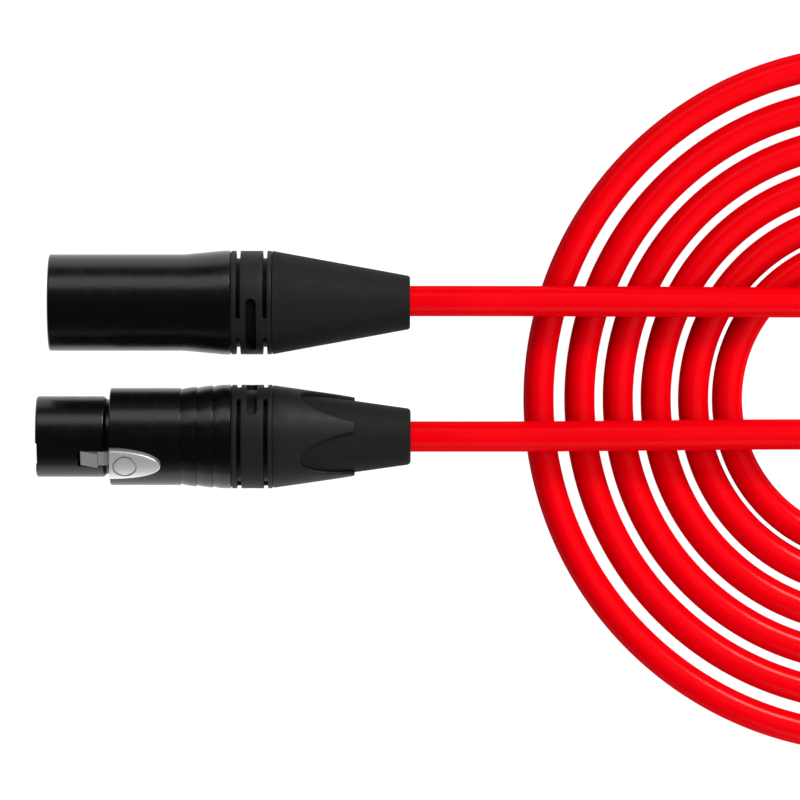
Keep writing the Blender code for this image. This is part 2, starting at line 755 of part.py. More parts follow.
def make_female_boot(frame, collection, materials):
    front = FEMALE_SHELL_LENGTH + RING_GAP + RING_LENGTH + SEAM
    end = FEMALE_LENGTH
    corner = 0.7
    profile = [
        (boot_radius(front), front),
        *arc(boot_radius(end - corner) - corner, end - corner, corner, 8, 90, 4),
        (3.3, end),
        (3.3, end - 16),
        (7.6, front + 3.4),
        (7.6, front),
    ]
    turned("female_boot", profile, frame, collection, materials["boot"])


def make_female_collar(frame, collection, cutters, materials):
    """The firm outer cone with four round-ended tongues, over the front of the soft boot."""
    front = FEMALE_SHELL_LENGTH + RING_GAP + RING_LENGTH + SEAM
    tip, valley = 62.6, 51.8
    top, slope = 10.12, 0.1445
    profile = [
        (top, front),
        (top - slope * (tip - front), tip),
        (boot_radius(tip) + SEAM, tip),
        (boot_radius(front) + SEAM, front),
    ]
    collar = turned("female_collar", profile, frame, collection, materials["moulding"], 48)
    clocking = sub_frame("collar_clocking", frame, collection, turn=FEMALE_RING_CLOCKING)
    edge_angle, radius = 37.0, 8.1
    half = radius * sin(radians(edge_angle))
    outline = []
    for i in range(13):
        share = -1 + i / 6
        across = radius * sin(radians(edge_angle * share))
        outline.append((valley + (tip - 0.6 - valley) * abs(share) ** 2.2, across))
    outline += [(tip + 1.5, half + 0.5), (tip + 1.5, -half - 0.5)]
    for number in range(4):
        turn = sub_frame(f"valley_{number + 1}_turn", clocking, collection, turn=90 * number)
        cutter = plate(f"valley_{number + 1}", outline, 4.5, 12, FLAT_PLACEMENT, turn, cutters)
        combine(collar, cutter, "DIFFERENCE")


def make_female_connector(centre, collection, cutters, materials):
    place = (FEMALE_FRONT_X, FEMALE_Y, FEMALE_CLOCKING, centre, collection)
    frame = connector_frame("female_connector", *place)
    make_female_shell(frame, collection, cutters, materials)
    make_female_insert(frame, collection, cutters, materials)
    make_female_contacts(frame, collection, materials)
    make_wires("female", FEMALE_SHELL_LENGTH, False, frame, collection, materials)
    make_latch(frame, collection, cutters, materials)
    make_latch_spring(frame, collection, materials)
    make_chuck("female", FEMALE_SHELL_LENGTH, frame, collection, cutters, materials)
    upright = sub_frame("female_upright", frame, collection, turn=-FEMALE_CLOCKING)
    ring = ("female", FEMALE_SHELL_LENGTH, FEMALE_RING_CLOCKING)
    make_screw_ring(*ring, upright, collection, cutters, materials)
    make_female_collar(upright, collection, cutters, materials)
    make_female_boot(upright, collection, materials)


def main():
    clear_scene()
    parts = new_collection("microphone_cable")
    cutters = new_collection("cutters")
    cutters.hide_render = True
    materials = make_materials()
    path = cable_path()
    centre = footprint_centre(path)
    make_cable(path, centre, parts, materials)
    make_male_connector(centre, parts, cutters, materials)
    make_female_connector(centre, parts, cutters, materials)


main()
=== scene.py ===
"""Looks of a coiled microphone cable: a fine mesh and a procedural finish for every CAD piece.

Lengths are in millimetres unless a comment says otherwise. A connector's pieces are built in that
connector's own frame: Z runs along its axis from the mating face at Z = 0 to the cable, and X
points at the key and the latch. The cable is built about the spiral's centre.
"""

import json
from math import asin, ceil, cos, degrees, exp, hypot, pi, radians, sin, sqrt, tan, tau

import bmesh
import bpy
from mathutils import Matrix, Vector


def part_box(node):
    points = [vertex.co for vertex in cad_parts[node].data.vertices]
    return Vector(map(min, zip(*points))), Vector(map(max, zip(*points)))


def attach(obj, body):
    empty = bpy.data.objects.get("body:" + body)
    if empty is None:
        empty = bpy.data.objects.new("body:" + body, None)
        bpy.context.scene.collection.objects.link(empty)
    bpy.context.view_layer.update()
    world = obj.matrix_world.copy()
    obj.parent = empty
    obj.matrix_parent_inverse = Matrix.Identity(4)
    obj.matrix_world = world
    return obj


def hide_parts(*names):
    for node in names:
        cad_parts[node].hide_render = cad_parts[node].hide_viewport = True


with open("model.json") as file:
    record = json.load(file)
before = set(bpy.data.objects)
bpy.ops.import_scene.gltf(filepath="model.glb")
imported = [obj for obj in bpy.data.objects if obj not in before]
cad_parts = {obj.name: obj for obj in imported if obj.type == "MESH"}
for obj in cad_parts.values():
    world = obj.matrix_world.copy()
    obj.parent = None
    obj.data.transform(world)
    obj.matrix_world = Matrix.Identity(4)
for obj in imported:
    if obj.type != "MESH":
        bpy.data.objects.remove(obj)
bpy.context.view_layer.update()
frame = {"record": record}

MM = 0.001
NODE_BODY = {
    node: body for body, nodes in frame["record"]["behaviour"]["bodies"].items() for node in nodes
}

# Cable and spiral
CABLE_RADIUS = 3.0
TURN_RADII = (67.3, 59.2, 51.6, 44.1, 36.7, 30.0)  # centre lines, outermost turn first
ROUND_SHARE = 0.22  # of a turn, on each side of -X, over which each turn keeps its radius
LEAD_IN_RADIUS = 71.5
OVER_HEIGHT = 9.15  # centre line of a lead that lies on top of the spiral
OUTER_BEND = (12.0, 18.9)  # where the plug's lead starts to bend towards the outermost turn
JOIN_TURNS = -0.40  # where that lead meets the spiral, and where it has come down to the table
DOWN_TURNS = -0.24
INNER_BEND_REACH = 21.5  # of the half loop from the innermost turn to the socket's lead
INNER_BEND_Y = -7.0
INNER_BEND_LENGTH = 17
INNER_LEAD_X = -24.0
LEAD_LEVEL = 9.0  # length over which a lead stays level behind its boot, and then comes down
LEAD_FALL = 16.0
JACKET_BEHIND_SHELL = 2.8
PATH_STEP = 1.2  # distance between the cable's rings
PATH_SMOOTHING = 2.5

# Connectors
MALE_Y = 19.0  # connector axes, from the spiral's centre
FEMALE_Y = -7.4
MALE_FRONT_X = -163.8
FEMALE_FRONT_X = -166.2
WIDEST_RADIUS = 10.25
MALE_SHELL_LENGTH = 35.7
FEMALE_SHELL_LENGTH = 38.25
MALE_LENGTH = 71.1
FEMALE_LENGTH = 73.6
MALE_LEAD_SIDEWAYS = 0.3
FEMALE_CLOCKING = 33.5  # degrees from straight up to the latch, about the connector's axis
MALE_RING_CLOCKING = 31.5
FEMALE_RING_CLOCKING = -59.5

PLUG_KEY_FRONT = 14.3
SOCKET_KEY_DEPTH = 0.3

# Contacts
POLE_CIRCLE = 3.96
POLE_ANGLES = (75.0, -75.0, 180.0)
PIN_RADIUS = 1.2
CUP_RADIUS = 1.3
CUP_BORE = 0.85
CUP_BEHIND_SHELL = 5.8
WIRE_RADIUS = 0.55

# Screw ring
THREAD_BORE = 8.6
THREAD_RADIUS = 8.35
THREAD_LENGTH = 6.2
THREAD_PITCH = 1.5
RING_GAP = 0.2
RING_LENGTH = 7.95
RING_RADIUS = 10.21
GROOVE_WIDTH = 0.85
GROOVE_CENTRES = (1.42, 6.68)
GROOVE_FLOOR = 8.75
BRIDGE_HALF_WIDTH = 2.17
BRIDGE_ANGLE = asin(BRIDGE_HALF_WIDTH / RING_RADIUS)
POCKET_WIDTH = 2.05
POCKET_CENTRE = 3.95
POCKET_DEPTH = 1.0
POCKET_HALF_ANGLE = 35.0
CUT_EDGE = 0.07  # rounding at the top and the floor of the grooves and pockets
CUT_CORNER = 0.1
LIP_DEPTH = 0.3  # of the lips that close the seams in front of the ring and behind it
SEAM = 0.15

# Latch
LATCH_HALF_WIDTH = 3.3
LATCH_FRONT = 14.6
LATCH_TAIL = 24.6
LATCH_TOP = 10.76
LATCH_UNDER = 8.6
LATCH_PIVOT = (7.95, 22.5)
LATCH_PLAY = 0.2
LATCH_WELL = 6.95  # floor of the shell's pocket under the latch
LATCH_EDGE = 0.24
LATCH_SHARP_ANGLE = 15.0  # degrees
HOOK_HALF_WIDTH = 1.6
CROWN_RADIUS = 9.0
DISC_RADIUS = 2.03
DISC_CENTRE = 17.6

# Mesh fineness
ROUND_STEPS = 144
INNER_STEPS = 96
SMALL_STEPS = 48
SHARP_ANGLE = 38.0  # degrees

# Studio
VIEW_CENTRE = (-94.7, -0.2)  # from the spiral's centre
CAMERA_HEIGHT = 1.21  # metres, as everything below
FLOOR_HALF_SIZE = 3.0
WHITE_FLOOR_REACH = 0.113
GREY_FLOOR_REACH = 0.36
FILL_DISTANCE = 0.9


# ---- finishes


class Finish:
    """A procedural finish on one Principled shader. Sizes are in millimetres on the real object."""

    def __init__(self, name, colour, roughness, metallic=0.0, specular=0.5):
        self.made = bpy.data.materials.new(name)
        self.made.use_nodes = True
        self.tree = self.made.node_tree
        self.shader = self.tree.nodes["Principled BSDF"]
        self.colour = colour
        self.set("Base Color", (*colour, 1.0))
        self.set("Roughness", roughness)
        self.set("Metallic", metallic)
        self.set("Specular IOR Level", specular)
        self.roughness = roughness
        self.place = self.node("TexCoord").outputs["Object"]
        self.normal = None

    def node(self, kind, **values):
        made = self.tree.nodes.new("ShaderNode" + kind)
        for name, value in values.items():
            setattr(made, name, value)
        return made

    def set(self, socket, value):
        self.shader.inputs[socket].default_value = value
        return self

    def link(self, source, target):
        self.tree.links.new(source, target)
        return self

    def noise(self, size, detail, stretch=(1, 1, 1)):
        """Noise with features of that size. A stretch above 1 squeezes them along that axis."""
        mapping = self.node("Mapping")
        mapping.inputs["Scale"].default_value = [s / (size * MM) for s in stretch]
        self.link(self.place, mapping.inputs["Vector"])
        made = self.node("TexNoise")
        made.inputs["Scale"].default_value = 1.0
        made.inputs["Detail"].default_value = detail
        self.link(mapping.outputs["Vector"], made.inputs["Vector"])
        return made.outputs["Fac"]

    def map_range(self, source, low, high, at_low, at_high=1.0):
        """The source's range from low to high, moved to the range from at_low to at_high."""
        made = self.node("MapRange")
        made.inputs["From Min"].default_value = low
        made.inputs["From Max"].default_value = high
        made.inputs["To Min"].default_value = at_low
        made.inputs["To Max"].default_value = at_high
        self.link(source, made.inputs["Value"])
        return made.outputs["Result"]

    def mottle(self, size, amount):
        """The colour is lighter and darker by that share, in patches of that size."""
        mix = self.node("Mix", data_type="RGBA")
        dark, light = [socket for socket in mix.inputs if socket.type == "RGBA"]
        dark.default_value = (*[c * (1 - amount) for c in self.colour], 1.0)
        light.default_value = (*[min(c * (1 + amount), 1.0) for c in self.colour], 1.0)
        self.link(self.noise(size, 3.0), mix.inputs["Factor"])
        mixed = [socket for socket in mix.outputs if socket.type == "RGBA"][0]
        return self.link(mixed, self.shader.inputs["Base Color"])

    def paint_hollow_shade(self, floor, top, share):
        """Painted shade in the hollows: the colour falls to that share from the top radius down to
        the floor of a hollow.
        """
        flat = self.node("VectorMath", operation="MULTIPLY")
        flat.inputs[1].default_value = (1 / MM, 1 / MM, 0)
        self.link(self.place, flat.inputs[0])
        radius = self.node("VectorMath", operation="LENGTH")
        self.link(flat.outputs[0], radius.inputs[0])
        shade = self.map_range(radius.outputs["Value"], floor, top, share)
        tint = self.node("VectorMath", operation="SCALE")
        painted = self.shader.inputs["Base Color"].links[0].from_socket
        self.link(painted, tint.inputs[0]).link(shade, tint.inputs["Scale"])
        return self.link(tint.outputs[0], self.shader.inputs["Base Color"])

    def along(self, source, direction):
        """How far the source vector reaches in that direction."""
        made = self.node("VectorMath", operation="DOT_PRODUCT")
        made.inputs[1].default_value = direction
        self.link(source, made.inputs[0])
        return made.outputs["Value"]

    def paint_side_shade(self, clocking, height, side_share, low_share):
        """Painted shade: the colour is darker on the sides and below that height above the
        connector's axis.
        """
        outwards = Vector((cos(radians(clocking)), sin(radians(clocking)), 0))
        facing = self.along(self.node("TexCoord").outputs["Normal"], outwards)
        above = self.along(self.place, outwards / MM)
        both = self.node("Math", operation="MULTIPLY")
        self.link(self.map_range(facing, 0.55, 0.8, side_share), both.inputs[0])
        self.link(self.map_range(above, height - 0.5, height, low_share), both.inputs[1])
        tint = self.node("VectorMath", operation="SCALE")
        tint.inputs[0].default_value = self.colour
        self.link(both.outputs[0], tint.inputs["Scale"])
        return self.link(tint.outputs[0], self.shader.inputs["Base Color"])

    def uneven_shine(self, size, amount):
        """The roughness goes up and down by that amount, in patches of that size."""
        limits = (self.roughness - amount, self.roughness + amount)
        spread = self.map_range(self.noise(size, 3.0), 0.3, 0.7, *limits)
        return self.link(spread, self.shader.inputs["Roughness"])

    def relief(self, size, height, stretch=(1, 1, 1)):
        """A fine grain of that size and height, on top of any that is there."""
        bump = self.node("Bump")
        bump.inputs["Strength"].default_value = 1.0
        bump.inputs["Distance"].default_value = height * MM
        self.link(self.noise(size, 2.0, stretch), bump.inputs["Height"])
        if self.normal is not None:
            self.link(self.normal, bump.inputs["Normal"])
        self.normal = bump.outputs["Normal"]
        return self.link(self.normal, self.shader.inputs["Normal"])


# colour, roughness, metallic, then size and strength of the mottle, uneven shine and relief
SMALL_PART_FINISHES = {
    "black_insert": ((0.012, 0.012, 0.013), 0.42, 0.0, (2.0, 0.15), (1.0, 0.05), (0.15, 0.002)),
    "gold_contact": ((0.86, 0.60, 0.23), 0.22, 1.0, (1.2, 0.08), (0.8, 0.05), (0.12, 0.0008)),
    "spring_steel": ((0.56, 0.56, 0.57), 0.26, 1.0, (0.8, 0.08), (0.5, 0.06), (0.08, 0.0008)),
    "white_clamp": ((0.74, 0.73, 0.70), 0.46, 0.0, (3.0, 0.04), (1.5, 0.06), (0.2, 0.003)),
    "tinned_copper": ((0.78, 0.56, 0.44), 0.34, 1.0, (0.7, 0.15), (0.4, 0.08), (0.16, 0.02)),
    "white_insulation": ((0.80, 0.80, 0.77), 0.42, 0.0, (1.5, 0.04), (1.0, 0.05), (0.3, 0.003)),
    "blue_insulation": ((0.03, 0.11, 0.42), 0.42, 0.0, (1.5, 0.06), (1.0, 0.05), (0.3, 0.003)),
}
GRAIN_STRETCH = {"gold_contact": (1, 1, 6), "tinned_copper": (1, 1, 0.3)}


def make_finishes():
    made = {}
    red = Finish("red_jacket_finish", (0.43, 0.0, 0.0021), 0.40, specular=0.0)
    red.set("Coat Weight", 0.02).set("Coat IOR", 2.6).set("Coat Roughness", 0.20)
    red.mottle(14, 0.02).uneven_shine(3.0, 0.05)
    made["red_jacket"] = red.relief(0.9, 0.003).relief(6.0, 0.015)
    shell = Finish("black_shell_finish", (0.0010, 0.0010, 0.0009), 0.26, specular=0.42)
    shell.mottle(4.0, 0.2).uneven_shine(2.2, 0.03)
    made["black_coated_zinc"] = shell.relief(0.28, 0.009).relief(0.9, 0.008)
    for name in ("black_moulding", "black_ring"):
        moulding = Finish(name + "_finish", (0.0068, 0.0062, 0.0058), 0.52, specular=0.14)
        moulding.mottle(3.0, 0.15)
        if name == "black_ring":
            # painted shade: the ring's colour darkens inside its grooves and pockets
            moulding.paint_hollow_shade(9.2, 10.0, 0.22)
        made[name] = moulding.uneven_shine(1.5, 0.05).relief(0.16, 0.003)
    boot = Finish("black_boot_finish", (0.0064, 0.0058, 0.0054), 0.66, specular=0.08)
    boot.mottle(5.0, 0.10).uneven_shine(2.0, 0.05)
    made["black_soft_boot"] = boot.relief(0.22, 0.005).relief(4.0, 0.012)
    nickel = Finish("satin_nickel_finish", (0.90, 0.90, 0.90), 0.40, metallic=0.86)
    # painted shade on the latch's side walls and on its lower parts
    nickel.paint_side_shade(FEMALE_CLOCKING, 9.6, 0.42, 0.62).uneven_shine(0.9, 0.03)
    made["satin_nickel"] = nickel.relief(0.12, 0.0006)
    for name, (colour, roughness, metallic, patches, shine, grain) in SMALL_PART_FINISHES.items():
        small = Finish(name + "_finish", colour, roughness, metallic)
        small.mottle(*patches).uneven_shine(*shine)
        made[name] = small.relief(*grain, GRAIN_STRETCH.get(name, (1, 1, 1)))
    return {name: finish.made for name, finish in made.items()}


# ---- shapes


def rounded(corners, steps=4):
    """A closed outline with rounded corners. Each corner is (x, y, radius)."""
    outline = []
    before = corners[-1:] + corners[:-1]
    after = corners[1:] + corners[:1]
    for last, (x, y, radius), following in zip(before, corners, after):
        here = Vector((x, y))
        if radius == 0:
            outline.append((x, y))
            continue
        back = (Vector(last[:2]) - here).normalized()
        on = (Vector(following[:2]) - here).normalized()
        half = back.angle(on) / 2
        centre = here + (back + on).normalized() * radius / sin(half)
        start = here + back * radius / tan(half) - centre
        end = here + on * radius / tan(half) - centre
        whole = start.angle(end)
        for i in range(steps + 1):
            share = i / steps
            arm = start * sin((1 - share) * whole) + end * sin(share * whole)
            outline.append(tuple(centre + arm / sin(whole)))
    return outline


class Shape:
    """Points and faces of a closed body, in millimetres."""

    def __init__(self):
        self.points = []
        self.faces = []

    def loop(self, points):
        start = len(self.points)
        self.points += [tuple(p) for p in points]
        return list(range(start, len(self.points)))

    def bridge(self, a, b):
        """Faces between two closed loops, or between a loop and a single point."""
        count = max(len(a), len(b))
        for i in range(count):
            j = (i + 1) % count
            corners = [a[i % len(a)], a[j % len(a)], b[j % len(b)], b[i % len(b)]]
            self.faces.append(list(dict.fromkeys(corners)))

    def skin(self, rings, closed):
        """Faces between each ring and the next, and from the last to the first if closed."""
        for a, b in zip(rings, rings[1:] + (rings[:1] if closed else [])):
            self.bridge(a, b)

    def cap(self, loop):
        self.faces.append(list(loop))

    def mesh(self, name):
        made = bpy.data.meshes.new(name)
        made.from_pydata(self.points, [], self.faces)
        work = bmesh.new()
        work.from_mesh(made)
        bmesh.ops.recalc_face_normals(work, faces=work.faces)
        work.to_mesh(made)
        work.free()
        return made


def turned(profile, steps=ROUND_STEPS, across=(0.0, 0.0)):
    """A turned solid. The profile is (radius, z), as a loop or from axis to axis."""
    made = Shape()
    x, y = across
    around = [tau * i / steps for i in range(steps)]
    rings = []
    for radius, z in profile:
        angles = around if radius else [0.0]
        points = [(x + radius * cos(a), y + radius * sin(a), z) for a in angles]
        rings.append(made.loop(points))
    made.skin(rings, closed=len(rings[0]) > 1 or len(rings[-1]) > 1)
    return made


def prism(outline, low, high, place):
    """A flat outline with thickness from low to high. place turns (u, v, height) into (x, y, z)."""
    made = Shape()
    loops = [made.loop([place(u, v, level) for u, v in outline]) for level in (low, high)]
    made.bridge(*loops)
    made.cap(loops[0])
    made.cap(loops[1][::-1])
    return made


def from_above(u, v, height):
    """An outline (z, y) seen from above the key, with its height along X."""
    return (height, v, u)


def from_side(u, v, height):
    """An outline (z, x) seen from the side, with its height along Y."""
    return (v, height, u)


def rounded_block(low, high, radius):
    """A box whose long edges along Z are rounded."""
    corners = [(low[0], low[1]), (high[0], low[1]), (high[0], high[1]), (low[0], high[1])]
    outline = rounded([(x, y, radius) for x, y in corners])
    return prism(outline, low[2], high[2], lambda u, v, level: (u, v, level))


def slab(start, end, half_width, low, high, roundings=(0, 0)):
    """A plate above the axis, from start to end along it. The roundings are those of its ends."""
    ends = ((start, roundings[0]), (end, roundings[1]))
    outline = [(z, -half_width, rounding) for z, rounding in ends]
    outline += [(z, half_width, rounding) for z, rounding in reversed(ends)]
    return prism(rounded(outline), low, high, from_above)


def swept(points, radius, sides, up=None, corner=0.1):
    """A round rod along points. With up, the rod doesn't twist about that direction."""
    made = Shape()
    ahead = []
    for i, point in enumerate(points):
        before = points[max(i - 1, 0)]
        after = points[min(i + 1, len(points) - 1)]
        ahead.append((after - before).normalized())
    side = (up or ahead[0].orthogonal()).cross(ahead[0]).normalized()
    rings = []
    ends = {0: -1, len(points) - 1: 1}

    def ring(point, across, over, size):
        turns = [tau * k / sides for k in range(sides)]
        return made.loop([point + (across * cos(t) + over * sin(t)) * size for t in turns])

    for i, (point, tangent) in enumerate(zip(points, ahead)):
        side = up.cross(tangent) if up else side - tangent * side.dot(tangent)
        side.normalize()
        over = tangent.cross(side)
        if i not in ends:
            rings.append(ring(point, side, over, radius))
            continue
        bends = [radians(a) for a in (0, 30, 60, 90)]
        if i == 0:
            bends.reverse()
        for bend in bends:
            place = point - tangent * ends[i] * corner * (1 - sin(bend))
            rings.append(ring(place, side, over, radius - corner * (1 - cos(bend))))
    made.skin(rings, closed=False)
    made.cap(rings[0])
    made.cap(rings[-1])
    return made


# ---- pieces


def new_object(name, data):
    made = bpy.data.objects.new(name, data)
    bpy.context.scene.collection.objects.link(made)
    return made


def combined(shape, *changes):
    """A mesh of the shape after each (operation, other shape) in turn."""
    base = new_object("work", shape.mesh("work"))
    others = []
    for operation, other in changes:
        tool = new_object("tool", other.mesh("tool"))
        others.append(tool)
        modifier = base.modifiers.new(tool.name, "BOOLEAN")
        modifier.operation = operation
        modifier.object = tool
        modifier.solver = "EXACT"
    graph = bpy.context.evaluated_depsgraph_get()
    result = bpy.data.meshes.new_from_object(base.evaluated_get(graph))
    for scratch in (base, *others):
        bpy.data.objects.remove(scratch)
    return result


def add_piece(node, shape, place, slot, clocking=0.0, sharp=SHARP_ANGLE, finish=None):
    """A piece that stands for one CAD node, in the place's frame, turned by the clocking."""
    mesh = shape.mesh(node) if isinstance(shape, Shape) else shape
    mesh.name = node + "_fine"
    mesh.transform(Matrix.Rotation(radians(clocking), 4, "Z") @ Matrix.Scale(MM, 4))
    mesh.materials.clear()
    mesh.materials.append(FINISHES[finish or slot])
    mesh.shade_smooth()
    mesh.set_sharp_from_angle(angle=radians(sharp))
    made = new_object(node + "_look", mesh)
    made.matrix_world = place
    weighted = made.modifiers.new("Even shading", "WEIGHTED_NORMAL")
    weighted.keep_sharp = True
    weighted.weight = 100
    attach(made, NODE_BODY[node])
    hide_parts(node)
    return made


# ---- cable path


def ease(share):
    """From 0 to 1 with no slope at either end."""
    share = min(max(share, 0.0), 1.0)
    return share * share * (3 - 2 * share)


def turn_radius(turns):
    """Centre-line radius after that many turns from -X, going clockwise and inwards."""
    if turns < 0:
        share = (-turns - ROUND_SHARE) / (0.5 - ROUND_SHARE)
        return TURN_RADII[0] + (LEAD_IN_RADIUS - TURN_RADII[0]) * ease(share)
    number = min(int(turns), len(TURN_RADII) - 1)
    following = min(number + 1, len(TURN_RADII) - 1)
    share = (turns - number - ROUND_SHARE) / (1 - 2 * ROUND_SHARE)
    return TURN_RADII[number] + (TURN_RADII[following] - TURN_RADII[number]) * ease(share)


def on_spiral(turns):
    angle = pi - tau * turns
    return turn_radius(turns) * Vector((cos(angle), sin(angle)))


def spiral_points(start, end):
    steps = ceil((end - start) * 180)
    return [on_spiral(start + (end - start) * i / steps) for i in range(1, steps + 1)]


def bezier(start, start_pull, end_pull, end, steps):
    """Points of a cubic Bezier curve, without its first."""
    points = []
    for i in range(1, steps + 1):
        t = i / steps
        s = 1 - t
        curve = s**3 * start + 3 * s * s * t * start_pull + 3 * s * t * t * end_pull
        points.append(curve + t**3 * end)
    return points


def falling(points, high, low, first_share, last_share):
    """The same points with a height that falls between two shares of their length."""
    lengths = [0.0]
    for a, b in zip(points, points[1:]):
        lengths.append(lengths[-1] + (b - a).length)
    placed = []
    for point, length in zip(points, lengths):
        share = (length / lengths[-1] - first_share) / (last_share - first_share)
        placed.append(Vector((point.x, point.y, high + (low - high) * ease(share))))
    return placed


def straight_lead(y, sideways, jacket_x, boot_x, last_x, last_y):
    """A lead from its jacket end to the spiral's hole, level until it is well clear of the boot."""
    level_x = boot_x + LEAD_LEVEL
    settled_x = level_x + LEAD_FALL
    points = []
    count = ceil(last_x - jacket_x)
    for i in range(count + 1):
        x = jacket_x + (last_x - jacket_x) * i / count
        share = (x - settled_x) / (last_x - settled_x)
        over = y + sideways * ease((x - boot_x + 12) / 10)
        across = over + (last_y - y - sideways) * max(share, 0.0)
        fall = ease((x - level_x) / (settled_x - level_x))
        points.append(Vector((x, across, WIDEST_RADIUS + (OVER_HEIGHT - WIDEST_RADIUS) * fall)))
    return points


def cable_path():
    """Centre line from the jacket's end in the plug to its end in the socket."""
    male_jacket = MALE_FRONT_X + MALE_SHELL_LENGTH - JACKET_BEHIND_SHELL
    female_jacket = FEMALE_FRONT_X + FEMALE_SHELL_LENGTH - JACKET_BEHIND_SHELL
    male_boot = MALE_FRONT_X + MALE_LENGTH
    female_boot = FEMALE_FRONT_X + FEMALE_LENGTH

    over = Vector(OUTER_BEND)
    outer_lead = straight_lead(MALE_Y, MALE_LEAD_SIDEWAYS, male_jacket, male_boot, over.x, over.y)
    onto = on_spiral(JOIN_TURNS)
    heading = (on_spiral(JOIN_TURNS + 0.01) - onto).normalized()
    swing = [over, *bezier(over, over + Vector((38, 0)), onto - heading * 30, onto, 80)]
    swing += spiral_points(JOIN_TURNS, DOWN_TURNS)
    swing = falling(swing, OVER_HEIGHT, CABLE_RADIUS, 0.42, 1.0)

    last_turns = len(TURN_RADII) - 0.75
    spiral = [Vector((p.x, p.y, CABLE_RADIUS)) for p in spiral_points(DOWN_TURNS, last_turns)]

    middle_y = (TURN_RADII[-1] + INNER_BEND_Y) / 2
    half_height = (TURN_RADII[-1] - INNER_BEND_Y) / 2
    loop = []
    for i in range(1, 61):
        angle = radians(90 - 3 * i)
        loop.append(Vector((INNER_BEND_REACH * cos(angle), middle_y + half_height * sin(angle))))
    loop += [Vector((-i, INNER_BEND_Y)) for i in range(1, INNER_BEND_LENGTH + 1)]
    loop = falling(loop, CABLE_RADIUS, OVER_HEIGHT, 0.30, 0.97)
    to_loop = (INNER_LEAD_X, INNER_BEND_Y)
    inner_lead = straight_lead(FEMALE_Y, 0.0, female_jacket, female_boot, *to_loop)
    return outer_lead + swing[1:] + spiral + loop + inner_lead[::-1]


def evenly_spaced(points, spacing):
    """The same line with points at an even spacing."""
    whole = sum((b - a).length for a, b in zip(points, points[1:]))
    count = round(whole / spacing)
    step = whole / count
    placed = [points[0].copy()]
    travelled = 0.0
    for a, b in zip(points, points[1:]):
        length = (b - a).length
        while len(placed) < count and travelled + length >= step * len(placed):
            share = (step * len(placed) - travelled) / length
            placed.append(a.lerp(b, share))
        travelled += length
    placed.append(points[-1].copy())
    return placed


def smoothed(points, spread, spacing):
    """Each point moved to a weighted mean of its neighbours. The ends stay."""
    reach = ceil(2.5 * spread / spacing)
    last = len(points) - 1
    placed = []
    for i in range(last + 1):
        room = min(reach, i, last - i)
        total, weights = Vector((0, 0, 0)), 0.0
        for k in range(-room, room + 1):
            weight = exp(-0.5 * (k * spacing / spread) ** 2)
            total += points[i + k] * weight
            weights += weight
        placed.append(total / weights)
    return placed


def make_cable(place):
    points = evenly_spaced(cable_path(), PATH_STEP)
    points = smoothed(points, PATH_SMOOTHING, PATH_STEP)
    shape = swept(points, CABLE_RADIUS, 36, up=Vector((0, 0, 1)), corner=0.25)
    add_piece("cable_jacket", shape, place, "red_jacket")


# ---- pieces of both connectors


def pole_places(mirrored):
    """Number and (x, y) of each pole. The male connector's poles are the mirror of the female's."""
    side = -1 if mirrored else 1
    for number, angle in enumerate(POLE_ANGLES, 1):
        turn = radians(side * angle)
        yield number, (POLE_CIRCLE * cos(turn), POLE_CIRCLE * sin(turn))


def make_insert(prefix, corners, hole, place, clocking, *changes):
    """The moulding that carries the contacts, with one hole for each."""
    holes = []
    for _, across in pole_places(mirrored=prefix == "male"):
        holes.append(("DIFFERENCE", turned(hole, SMALL_STEPS, across)))
    mesh = combined(turned(rounded(corners), INNER_STEPS), *holes, *changes)
    add_piece(f"{prefix}_insert", mesh, place, "black_insert", clocking)


def solder_cup(start_z, shell_length):
    """Corners of a contact's rear part, from its collar to the axis at the cup's bottom."""
    end = shell_length - CUP_BEHIND_SHELL
    return [
        (1.7, start_z, 0.1),
        (1.7, start_z + 0.6, 0.1),
        (CUP_RADIUS, start_z + 0.6, 0),
        (CUP_RADIUS, end, 0.12),
        (CUP_BORE, end, 0.12),
        (CUP_BORE, end - 3.2, 0.2),
        (0, end - 3.2, 0),
    ]


def make_wires(prefix, shell_length, mirrored, place, clocking):
    """The cable's three conductors, from the jacket's end to the solder cups."""
    looks = (("shield", "tinned_copper"), ("hot", "white_insulation"), ("cold", "blue_insulation"))
    cup_end = shell_length - CUP_BEHIND_SHELL
    jacket_end = shell_length - JACKET_BEHIND_SHELL
    for (_, (x, y)), (role, slot) in zip(pole_places(mirrored), looks):
        steps = [(1.0, cup_end - 3.0), (1.0, cup_end + 0.4), (0.72, cup_end + 1.3)]
        steps += [(0.36, jacket_end - 0.8), (0.32, jacket_end - SEAM)]
        points = [Vector((x * spread, y * spread, z)) for spread, z in steps]
        points = smoothed(evenly_spaced(points, 0.15), 0.3, 0.15)
        shape = swept(points, WIRE_RADIUS, 24, corner=0.08)
        add_piece(f"{prefix}_wire_{role}", shape, place, slot, clocking)


def make_chuck(prefix, rear, place, clocking):
    """The clamp that grips the jacket: a ring with four jaws, which the screw ring presses."""
    corners = [
        (8.2, rear - 10.3, 0.2),
        (8.2, rear - 6.6, 0.2),
        (6.3, rear - 6.3, 0.1),
        (6.3, rear + 2.7, 0.6),
        (5.2, rear + 5.7, 0.3),
        (3.35, rear + 5.7, 0.2),
        (3.35, rear - 2.0, 0.3),
        (5.9, rear - 5.3, 0.3),
        (5.9, rear - 10.3, 0.2),
    ]
    reach, half = 9.0, 0.5
    slits = []
    for x, y in ((reach, half), (half, reach)):
        slit = rounded_block((-x, -y, rear - 2.6), (x, y, rear + 7.0), 0.1)
        slits.append(("DIFFERENCE", slit))
    mesh = combined(turned(rounded(corners), INNER_STEPS), *slits)
    add_piece(f"{prefix}_chuck", mesh, place, "white_clamp", clocking)


